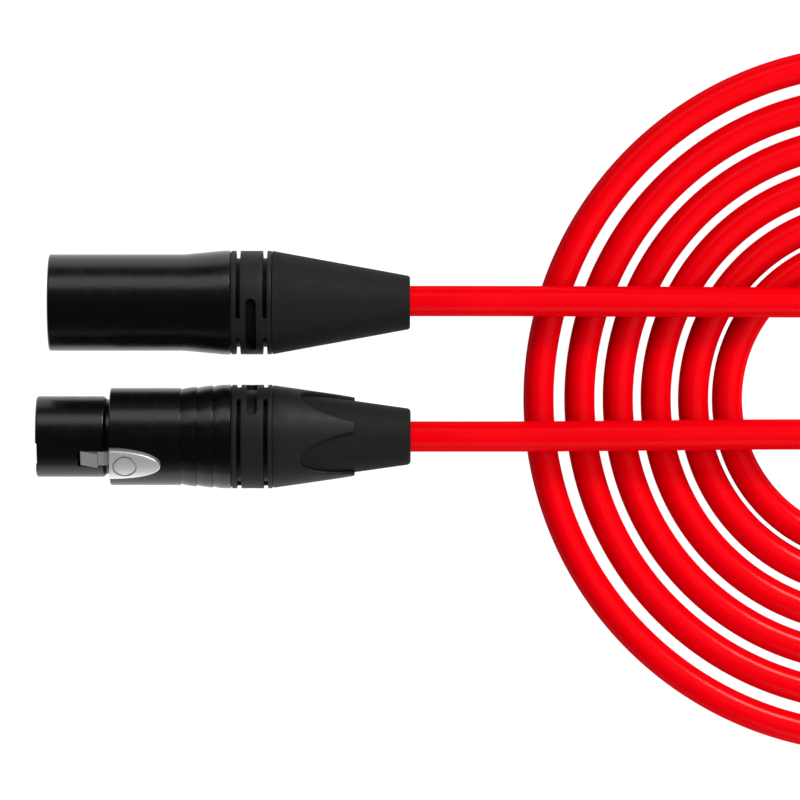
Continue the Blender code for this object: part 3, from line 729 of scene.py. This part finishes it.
def cut_radius(distance, floor):
    """Outside radius at a distance beyond a cut's slightly rounded edge. Negative is inside."""
    if distance >= CUT_EDGE:
        return RING_RADIUS
    if distance > 0:
        return RING_RADIUS - CUT_EDGE + sqrt(CUT_EDGE**2 - (CUT_EDGE - distance) ** 2)
    if distance > -CUT_CORNER:
        return max(floor + CUT_CORNER - sqrt(CUT_CORNER**2 - (CUT_CORNER + distance) ** 2), floor)
    return floor


def groove_radius(angle, z):
    """Radius of the ring at that angle and height, as far as the two grooves go."""
    half_width = GROOVE_WIDTH / 2
    from_bridge = RING_RADIUS * (asin(min(abs(sin(angle)), 1.0)) - BRIDGE_ANGLE)
    short = max(half_width - from_bridge, 0)
    away = min(abs(z - centre) for centre in GROOVE_CENTRES)
    return cut_radius(hypot(short, away) - half_width, GROOVE_FLOOR)


def pocket_radius(angle, z):
    """Radius of the ring at that angle and height, as far as the two pockets go."""
    half_width = POCKET_WIDTH / 2
    reach = RING_RADIUS * sin(radians(POCKET_HALF_ANGLE)) - half_width
    across = RING_RADIUS * abs(sin(angle))
    if across > reach + half_width + CUT_CORNER:
        return RING_RADIUS
    distance = hypot(max(across - reach, 0), z - POCKET_CENTRE) - half_width
    return cut_radius(distance, RING_RADIUS - POCKET_DEPTH)


def ring_levels():
    """Heights of the ring's lines, close together at every edge."""
    offsets = (CUT_EDGE, 0.045, 0.02, 0.005, 0.0, -0.003, -0.03, -CUT_CORNER)
    levels = set()
    for centre in GROOVE_CENTRES:
        for side in (-1, 1):
            levels |= {centre + side * (GROOVE_WIDTH / 2 + offset) for offset in offsets}
        levels |= {centre + 0.06 * i for i in range(-5, 6)}
    for side in (-1, 1):
        levels |= {POCKET_CENTRE + side * (POCKET_WIDTH / 2 + offset) for offset in offsets}
    count = 30
    reach = POCKET_WIDTH / 2 - 0.14
    levels |= {POCKET_CENTRE - reach + 2 * reach * i / count for i in range(count + 1)}
    return sorted(levels)


def ring_angles():
    """Angles of the ring's lines, close together at the ends of the pockets."""
    end = degrees(asin((RING_RADIUS * sin(radians(POCKET_HALF_ANGLE)) + 0.08) / RING_RADIUS))
    start = degrees(asin(sin(radians(POCKET_HALF_ANGLE)) - POCKET_WIDTH / 2 / RING_RADIUS)) - 0.5
    bridge = degrees(BRIDGE_ANGLE)
    groove_end = bridge + degrees(GROOVE_WIDTH / 2 / RING_RADIUS) + 0.3
    parts = ((0, bridge - 0.5, 6), (bridge - 0.5, groove_end, 16), (groove_end, start, 8))
    quarter = []
    for low, high, count in (*parts, (start, end, 26), (end, 90, 26)):
        quarter += [low + (high - low) * i / count for i in range(count)]
    quarter.append(90)
    half = quarter + [180 - a for a in reversed(quarter[:-1])]
    return [radians(a) for a in half + [360 - a for a in reversed(half[1:-1])]]


def make_screw_ring(prefix, shell_length, clocking, place):
    """The ring that screws into the shell, with two grooves, two pockets and a spigot."""
    front = shell_length + RING_GAP
    back = front + RING_LENGTH
    angles = ring_angles()
    made = Shape()
    rings = []

    def add_ring(radius, z):
        rings.append(made.loop([(radius * cos(a), radius * sin(a), z) for a in angles]))

    corner = 0.15
    bends = [radians(a) for a in (90, 60, 30, 0)]
    for bend in bends:
        add_ring(RING_RADIUS - corner + corner * cos(bend), front + corner - corner * sin(bend))
    for z in ring_levels():
        radii = [min(groove_radius(a, z), pocket_radius(a, z)) for a in angles]
        points = [(r * cos(a), r * sin(a), front + z) for r, a in zip(radii, angles)]
        rings.append(made.loop(points))
    for bend in reversed(bends):
        add_ring(RING_RADIUS - corner + corner * cos(bend), back - corner + corner * sin(bend))
    lip = RING_RADIUS - LIP_DEPTH
    rear_lip = back + SEAM - 0.05
    front_lip = front - RING_GAP + 0.06
    root = THREAD_RADIUS - 0.4
    inside = [(lip, back), (lip, rear_lip), (7.3, rear_lip), (7.3, back + 2.4), (7.2, back + 2.5)]
    inside += [(5.6, back + 2.5), (5.6, front + 5.7), (6.6, front + 2.7)]
    inside += [(6.6, front - THREAD_LENGTH), (root, front - THREAD_LENGTH)]
    for i in range(int(THREAD_LENGTH / THREAD_PITCH)):
        z = front - THREAD_LENGTH + 0.3 + i * THREAD_PITCH
        inside += [(root, z), (THREAD_RADIUS, z + 0.4), (THREAD_RADIUS, z + 0.7), (root, z + 1.1)]
    inside += [(root, front_lip), (lip, front_lip), (lip, front)]
    for radius, z in inside:
        add_ring(radius, z)
    made.skin(rings, closed=True)
    name = f"{prefix}_screw_ring"
    add_piece(name, made, place, "black_moulding", clocking, finish="black_ring")


def behind_ring(shell_length):
    """Where the boot and the collar start."""
    return shell_length + RING_GAP + RING_LENGTH + SEAM


def make_boot(prefix, shell_length, end, front_edge, end_edge, bore, narrow_from, place):
    """A tapered sleeve. Each edge, and the bore behind narrow_from, is (radius, rounding)."""
    front = behind_ring(shell_length)
    corners = [
        (front_edge[0], front, front_edge[1]),
        (end_edge[0], end, end_edge[1]),
        (bore[0], end, bore[1]),
        (bore[0], narrow_from, 1.0),
        (7.6, front + 3.4, 0.3),
        (7.6, front, 0.1),
    ]
    add_piece(f"{prefix}_boot", turned(rounded(corners, 6)), place, "black_soft_boot")


# ---- male connector


def make_male_shell(place):
    body, rear = 9.5, MALE_SHELL_LENGTH
    corners = [
        (8.15, 0, 0.25),
        (body, 0, 0.4),
        (body, 26.6, 1.5),
        (WIDEST_RADIUS, 34.5, 0.1),
        (WIDEST_RADIUS, rear, 0.1),
        (THREAD_BORE, rear, 0.1),
        (THREAD_BORE, 16.4, 0.1),
        (7.5, 16.4, 0.1),
        (7.5, 15.6, 0.1),
        (8.15, 15.6, 0.1),
    ]
    key = rounded_block((7.2, -1.7, PLUG_KEY_FRONT), (8.6, 1.7, 15.8), 0.25)
    recess = slab(3.0, 7.4, 2.3, 7.6, 8.75, (0.3, 0.3))
    mesh = combined(turned(rounded(corners, 5)), ("UNION", key), ("DIFFERENCE", recess))
    add_piece("male_shell", mesh, place, "black_coated_zinc")


def make_male_insert(place):
    corners = [(0, 15.9, 0), (7.35, 15.9, 0.15), (7.35, 16.6, 0)]
    corners += [(8.4, 16.6, 0.1), (8.4, 25.0, 0.1), (0, 25.0, 0)]
    hole = [(0, 14), (PIN_RADIUS + 0.15, 14), (PIN_RADIUS + 0.15, 27), (0, 27)]
    make_insert("male", corners, hole, place, 0.0)


def make_male_pins(place):
    """Three pins with round tips. Pin 1, the ground, reaches further forward and mates first."""
    for number, across in pole_places(mirrored=True):
        tip = 2.6 if number == 1 else 3.2
        corners = [(0, tip, 0), (PIN_RADIUS, tip, PIN_RADIUS * 0.98), (PIN_RADIUS, 25.3, 0)]
        corners += solder_cup(25.3, MALE_SHELL_LENGTH)
        shape = turned(rounded(corners, 7), SMALL_STEPS, across)
        add_piece(f"male_pin_{number}", shape, place, "gold_contact")


def make_male_boot(place):
    ends = (10.2, 0.12), (5.24, 0.6), (3.5, 0.25)
    make_boot("male", MALE_SHELL_LENGTH, MALE_LENGTH, *ends, MALE_LENGTH - 17, place)


# ---- female connector


def button_outline(grow=0.0, front=LATCH_FRONT):
    """The latch button from above: a straight front edge and a half-oval tail."""
    half_width = LATCH_HALF_WIDTH + grow
    length = LATCH_TAIL - LATCH_FRONT + grow
    outline = []
    if front < LATCH_FRONT:
        outline = [(front, -half_width)]
    for i in range(49):
        angle = radians(-90 + 180 * i / 48)
        outline.append((LATCH_FRONT + length * cos(angle), half_width * sin(angle)))
    if front < LATCH_FRONT:
        outline.append((front, half_width))
    return outline


def make_female_shell(place):
    rear = FEMALE_SHELL_LENGTH
    nose, neck, body = 7.95, 7.37, 9.57
    # start, end, radius at the start, radius at the end and rounding of each step
    steps = (
        (28.4, 31.5, 9.36, 9.8, 0.03),
        (31.6, 34.7, 9.64, 10.05, 0.03),
        (34.8, 36.9, 9.89, 10.21, 0),
    )
    corners = [
        (6.4, 0, 0.2),
        (nose, 0, 0.4),
        (nose, 13.2, 0.2),
        (neck, 13.85, 0.1),
        (neck, 14.5, 0.1),
        (body, 14.5, 0.3),
        (body, 28.35, 0.06),
    ]
    for start, end, low, high, rounding in steps:
        corners += [(low - 0.12, start - 0.02, 0), (low - 0.12, start + 0.08, 0)]
        for i in range(9):
            share = i / 8
            z = start + 0.1 + (end - start - 0.1) * share
            radius = low + (high - low) * sin(share * pi / 2)
            corners.append((radius, z, rounding if i == 8 else 0))
    corners += [
        (10.21, rear, 0.05),
        (THREAD_BORE, rear, 0.1),
        (THREAD_BORE, 25.5, 0.1),
        (6.4, 25.5, 0.1),
    ]
    notch = slab(-1, SOCKET_KEY_DEPTH, 3.2, 6.0, 9)
    window = slab(8.3, 16.4, 1.85, 5.9, 9.2, (0.4, 0))
    pocket = prism(button_outline(LATCH_PLAY, front=14.1), LATCH_WELL, 12, from_above)
    changes = [("DIFFERENCE", cut) for cut in (notch, window, pocket, pivot_rod(0.62, 3.4))]
    mesh = combined(turned(rounded(corners)), *changes)
    add_piece("female_shell", mesh, place, "black_coated_zinc", FEMALE_CLOCKING)


def pivot_rod(radius, half_length):
    """A cylinder across the connector, on the latch's pivot axis."""
    height, distance = LATCH_PIVOT
    profile = [(0, -half_length, 0), (radius, -half_length, 0.08)]
    profile += [(radius, half_length, 0.08), (0, half_length, 0)]
    made = turned(rounded(profile), SMALL_STEPS)
    made.points = [(height + x, z, distance + y) for x, y, z in made.points]
    return made


def make_female_insert(place):
    corners = [(0, 0.5, 0), (6.3, 0.5, 0.15), (6.3, 25.8, 0)]
    corners += [(8.4, 25.8, 0.1), (8.4, 27.6, 0.1), (0, 27.6, 0)]
    hole = [(0, -1), (1.58, -1), (1.58, 0.5), (1.38, 0.7), (1.38, 1.7), (1.95, 1.7)]
    hole += [(1.95, 29), (0, 29)]
    flat = ("DIFFERENCE", slab(7.6, 16.8, 2.2, 5.6, 7))
    make_insert("female", corners, hole, place, FEMALE_CLOCKING, flat)


def make_female_contacts(place):
    """Three tubes that take the plug's pins, each with a solder cup behind."""
    for number, across in pole_places(mirrored=False):
        corners = [
            (0, 15.5, 0),
            (PIN_RADIUS + 0.05, 15.5, 0),
            (PIN_RADIUS + 0.05, 2.0, 0.15),
            (1.75, 2.0, 0.1),
            (1.75, 22.0, 0.2),
            (CUP_RADIUS, 22.0, 0),
            (CUP_RADIUS, 27.9, 0),
            *solder_cup(27.9, FEMALE_SHELL_LENGTH),
        ]
        shape = turned(rounded(corners), SMALL_STEPS, across)
        add_piece(f"female_contact_{number}", shape, place, "gold_contact", FEMALE_CLOCKING)


def inset(outline, distance):
    """A convex outline moved inwards."""
    placed = []
    count = len(outline)
    for i, (u, v) in enumerate(outline):
        before = Vector(outline[i - 1])
        after = Vector(outline[(i + 1) % count])
        here = Vector((u, v))
        first = (here - before).normalized()
        second = (after - here).normalized()
        normal = Vector((-first.y - second.y, first.x + second.x)).normalized()
        stretch = max(normal.dot(Vector((-first.y, first.x))), 0.35)
        placed.append(tuple(here + normal * distance / stretch))
    return placed


def crown(across):
    """How far the button's arched top has dropped at that distance from its middle line."""
    return CROWN_RADIUS - sqrt(CROWN_RADIUS**2 - across**2)


def make_button():
    """The button with its rounded edge and an arched top that is meshed as a grid."""
    tail = len(button_outline())
    across = 9
    outline = button_outline()
    for i in range(1, across + 1):
        outline.append((LATCH_FRONT, LATCH_HALF_WIDTH * (1 - 2 * i / (across + 1))))
    button = Shape()
    loops = [button.loop([from_above(u, v, LATCH_UNDER) for u, v in outline])]
    for bend in (radians(10 * i) for i in range(10)):
        level = LATCH_TOP - LATCH_EDGE + LATCH_EDGE * sin(bend)
        edge = inset(outline, LATCH_EDGE * (1 - cos(bend)))
        loops.append(button.loop([from_above(u, v, level - crown(v)) for u, v in edge]))
    button.skin(loops, closed=False)
    button.cap(loops[0])
    rim = loops[-1]
    rows = [[rim[0]] + rim[: tail - 1 : -1] + [rim[tail - 1]]]
    for i in range(1, tail // 2):
        start, end = rim[i], rim[tail - 1 - i]
        (_, v0, u0), (_, v1, u1) = button.points[start], button.points[end]
        middle = []
        for j in range(1, across + 1):
            share = j / (across + 1)
            u, v = u0 + (u1 - u0) * share, v0 + (v1 - v0) * share
            middle.append(from_above(u, v, LATCH_TOP - crown(v)))
        rows.append([start] + button.loop(middle) + [end])
    for a, b in zip(rows, rows[1:]):
        for j in range(across + 1):
            button.faces.append((a[j], a[j + 1], b[j + 1], b[j]))
    tip = rim[tail // 2]
    for j in range(across + 1):
        button.faces.append((rows[-1][j], rows[-1][j + 1], tip))
    return button


def make_latch(place):
    """The release button and its hook, in one piece, on a pin near the button's tail."""
    into_button = LATCH_UNDER + 0.4
    hook_side = [(8.8, LATCH_WELL, 0.1), (8.8, 7.6, 0.12), (12.25, 8.65, 0.15), (12.3, 7.8, 0.1)]
    hook_side += [(LATCH_FRONT + 0.1, 7.8, 0.1), (LATCH_FRONT + 0.1, into_button, 0)]
    hook_side += [(16.0, into_button, 0), (16.0, LATCH_WELL, 0)]
    hook = prism(rounded(hook_side), -HOOK_HALF_WIDTH, HOOK_HALF_WIDTH, from_side)
    distance = LATCH_PIVOT[1]
    lug = rounded_block((7.15, -1.4, distance - 0.8), (into_button, 1.4, distance + 0.8), 0.15)
    # a shallow moat around a round disc, which follows the arched top
    moat = [(DISC_RADIUS, -0.3), (DISC_RADIUS + 0.17, -0.3), (DISC_RADIUS + 0.37, 0.1)]
    moat = turned([*moat, (DISC_RADIUS, 0.1)], INNER_STEPS)
    moat.points = [(LATCH_TOP - crown(y) + z, y, DISC_CENTRE + x) for x, y, z in moat.points]
    changes = [("UNION", hook), ("UNION", lug), ("DIFFERENCE", moat)]
    changes.append(("DIFFERENCE", pivot_rod(0.6, 4)))
    lever = combined(make_button(), *changes)
    add_piece("latch_lever", lever, place, "satin_nickel", FEMALE_CLOCKING, LATCH_SHARP_ANGLE)
    add_piece("latch_pin", pivot_rod(0.5, 3.25), place, "spring_steel", FEMALE_CLOCKING)


def make_latch_spring(place):
    """A small coil spring under the button, short enough to clear it when it is pressed."""
    wire, radius, turns, distance = 0.16, 1.1, 3, 18.6
    low, high = LATCH_WELL + wire + 0.08, LATCH_UNDER - wire - 0.35
    points = []
    count = turns * 40
    for i in range(count + 1):
        angle = tau * i / 40
        height = low + (high - low) * i / count
        points.append(Vector((height, radius * cos(angle), distance + radius * sin(angle))))
    shape = swept(points, wire, 12, corner=0.03)
    add_piece("latch_spring", shape, place, "spring_steel", FEMALE_CLOCKING)


def boot_radius(z):
    """Outside of the soft boot of the female connector, which narrows evenly to the cable."""
    return 6.97 + 0.141 * (63.1 - z)


def make_female_boot(place):
    front = behind_ring(FEMALE_SHELL_LENGTH)
    ends = (boot_radius(front), 0.1), (boot_radius(FEMALE_LENGTH), 0.8), (3.3, 0.2)
    make_boot("female", FEMALE_SHELL_LENGTH, FEMALE_LENGTH, *ends, FEMALE_LENGTH - 16, place)


def collar_edge(angle):
    """Height of the collar's wavy rear edge. Angle 0 is in the middle of a valley."""
    tip, valley, rise = 62.6, 51.8, 37.0
    period = radians(90)
    angle = abs((angle + period / 2) % period - period / 2)
    share = degrees(angle) / rise
    high = valley + (tip - 0.6 - valley) * share**2.2
    # a soft minimum with the tip's height rounds the tongue
    soft = 1.1
    return min(high, tip) - max(soft - abs(high - tip), 0) ** 2 / (4 * soft)


def make_female_collar(place):
    """The firm outer cone with four round-ended tongues, over the front of the soft boot."""
    front = behind_ring(FEMALE_SHELL_LENGTH)
    top, slope = 10.12, 0.1445
    mean_radius = 8.6  # at which the surface is unrolled
    margin = 0.45  # width of the strip that follows the edge
    corner = 0.2

    def outer(z):
        return top - slope * (z - front)

    def inner(z):
        return boot_radius(z) + SEAM

    # the edge as a line in the unrolled surface, at an even spacing
    fine = [radians(a / 10) for a in range(3600)]
    line = [Vector((mean_radius * a, collar_edge(a))) for a in fine]
    line.append(Vector((mean_radius * tau, collar_edge(0))))
    even = evenly_spaced([p.to_3d() for p in line], 0.3)[:-1]
    whole_turn = Vector((mean_radius * tau, 0, 0))
    normals = []
    for before, after in zip([even[-1] - whole_turn] + even, even[1:] + [even[0] + whole_turn]):
        ahead = after - before
        normals.append(Vector((-ahead.y, ahead.x, 0)).normalized())
    made = Shape()
    rings = []

    def add_ring(back_off, radius_at, share=1.0):
        """A ring that follows the edge, or one at that share of the way from the front to there."""
        points = []
        for place_on, normal in zip(even, normals):
            flat = place_on - normal * back_off
            z = front + (flat.y - front) * share
            angle, radius = flat.x / mean_radius, radius_at(z)
            points.append((radius * cos(angle), radius * sin(angle), z))
        rings.append(made.loop(points))

    add_ring(margin, lambda z: outer(z) - 0.1, 0.0)
    for share in (0.03, 0.25, 0.5, 0.75, 1.0):
        add_ring(margin, outer, share)
    for bend in (radians(a) for a in (0, 22.5, 45, 67.5, 90)):
        drop = corner * (1 - cos(bend))
        add_ring(corner * (1 - sin(bend)), lambda z, drop=drop: outer(z) - drop)
    add_ring(0.0, lambda z: inner(z) + 0.05)
    add_ring(0.05, inner)
    for share in (1.0, 0.75, 0.5, 0.25, 0.0):
        add_ring(margin, inner, share)
    made.skin(rings, closed=True)
    add_piece("female_collar", made, place, "black_moulding", FEMALE_RING_CLOCKING)


# ---- assembly


def spiral_centre():
    """The spiral's centre on the table in the row frame, in metres, from the male shell."""
    low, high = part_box("male_shell")
    middle = (low + high) / 2
    return Vector((low.x - MALE_FRONT_X * MM, middle.y - MALE_Y * MM, 0))


def connector_place(shell):
    """The frame of a connector with X straight up, from the box of its shell."""
    low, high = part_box(shell)
    middle = (low + high) / 2
    flat = Matrix(((0, 0, 1), (0, -1, 0), (1, 0, 0))).to_4x4()
    return Matrix.Translation((low.x, middle.y, middle.z)) @ flat


def make_male_connector():
    place = connector_place("male_shell")
    make_male_shell(place)
    make_male_insert(place)
    make_male_pins(place)
    make_wires("male", MALE_SHELL_LENGTH, True, place, 0.0)
    make_chuck("male", MALE_SHELL_LENGTH, place, 0.0)
    make_screw_ring("male", MALE_SHELL_LENGTH, MALE_RING_CLOCKING, place)
    make_male_boot(place)


def make_female_connector():
    place = connector_place("female_shell")
    make_female_shell(place)
    make_female_insert(place)
    make_female_contacts(place)
    make_wires("female", FEMALE_SHELL_LENGTH, False, place, FEMALE_CLOCKING)
    make_latch(place)
    make_latch_spring(place)
    make_chuck("female", FEMALE_SHELL_LENGTH, place, FEMALE_CLOCKING)
    make_screw_ring("female", FEMALE_SHELL_LENGTH, FEMALE_RING_CLOCKING, place)
    make_female_collar(place)
    make_female_boot(place)


# ---- studio


def make_floor(centre):
    """A plain pale table that glows: a painted pool of light, white in the middle and dimmer away
    from it.
    """
    mesh = bpy.data.meshes.new("floor")
    size = FLOOR_HALF_SIZE
    corners = [(-size, -size, 0), (size, -size, 0), (size, size, 0), (-size, size, 0)]
    mesh.from_pydata(corners, [], [range(4)])
    floor = new_object("floor", mesh)
    finish = Finish("floor_finish", (0.10, 0.10, 0.10), 1.0, specular=0.0)
    # painted light: the floor's own glow, full in the middle and fading outwards
    finish.set("Emission Color", (1.0, 1.0, 1.0, 1.0))
    distance = finish.node("VectorMath", operation="DISTANCE")
    distance.inputs[1].default_value = (centre.x + VIEW_CENTRE[0] * MM, centre.y, 0)
    finish.link(finish.place, distance.inputs[0])
    reach = (WHITE_FLOOR_REACH, GREY_FLOOR_REACH)
    fade = finish.map_range(distance.outputs["Value"], *reach, 1.0, 0.40)
    fade.node.interpolation_type = "SMOOTHSTEP"
    finish.link(fade, finish.shader.inputs["Emission Strength"])
    mesh.materials.append(finish.made)


def make_world():
    """A dim room."""
    world = bpy.data.worlds.new("room")
    world.use_nodes = True
    background = world.node_tree.nodes["Background"]
    background.inputs["Color"].default_value = (0.04, 0.04, 0.04, 1.0)
    background.inputs["Strength"].default_value = 1.0
    bpy.context.scene.world = world


def add_softbox(name, azimuth, from_zenith, distance, width, height, radiance, target):
    """A white rectangular lamp in that direction, facing the target. Distances are in metres."""
    data = bpy.data.lights.new(name, "AREA")
    data.shape = "RECTANGLE"
    data.size = width
    data.size_y = height
    data.energy = radiance * pi * width * height
    lamp = new_object(name, data)
    a, e = radians(azimuth), radians(from_zenith)
    arm = Vector((sin(e) * cos(a), sin(e) * sin(a), cos(e)))
    lamp.location = target + arm * distance
    lamp.rotation_euler = arm.to_track_quat("Z", "Y").to_euler()
    return lamp


def add_fill(azimuth, from_zenith, width, radiance, target):
    """A square lamp for soft light only, which leaves no highlight of its own."""
    direction = (azimuth, from_zenith, FILL_DISTANCE)
    lamp = add_softbox("fill", *direction, width, width, radiance, target)
    lamp.visible_glossy = False


def make_lights(centre):
    coil = Vector((centre.x - 0.04, centre.y, 0))
    connectors = Vector((centre.x - 0.145, centre.y + 0.006, 0.01))
    add_softbox("key", 61, 56, 0.9, 0.25, 0.25, 54.0, coil)
    add_softbox("strip", 100, 50, 0.55, 0.40, 0.26, 1.8, connectors)
    add_softbox("side", 265, 80, 0.5, 0.60, 0.16, 0.25, connectors)
    add_fill(325, 50, 0.6, 2.8, coil)
    add_fill(275, 64, 0.6, 6.6, coil)
    add_fill(10, 32, 1.1, 2.8, coil)


def make_camera(centre):
    data = bpy.data.cameras.new("camera")
    data.lens = 274.0
    data.sensor_width = 36.0
    data.clip_start = 0.05
    camera = new_object("camera", data)
    x, y = (centre + Vector((*VIEW_CENTRE, 0)) * MM).xy
    camera.location = (x, y, CAMERA_HEIGHT)
    bpy.context.scene.camera = camera


FINISHES = make_finishes()
CENTRE = spiral_centre()
make_cable(Matrix.Translation(CENTRE))
make_male_connector()
make_female_connector()
make_floor(CENTRE)
make_world()
make_lights(CENTRE)
make_camera(CENTRE)
bpy.context.scene.view_settings.view_transform = "Standard"
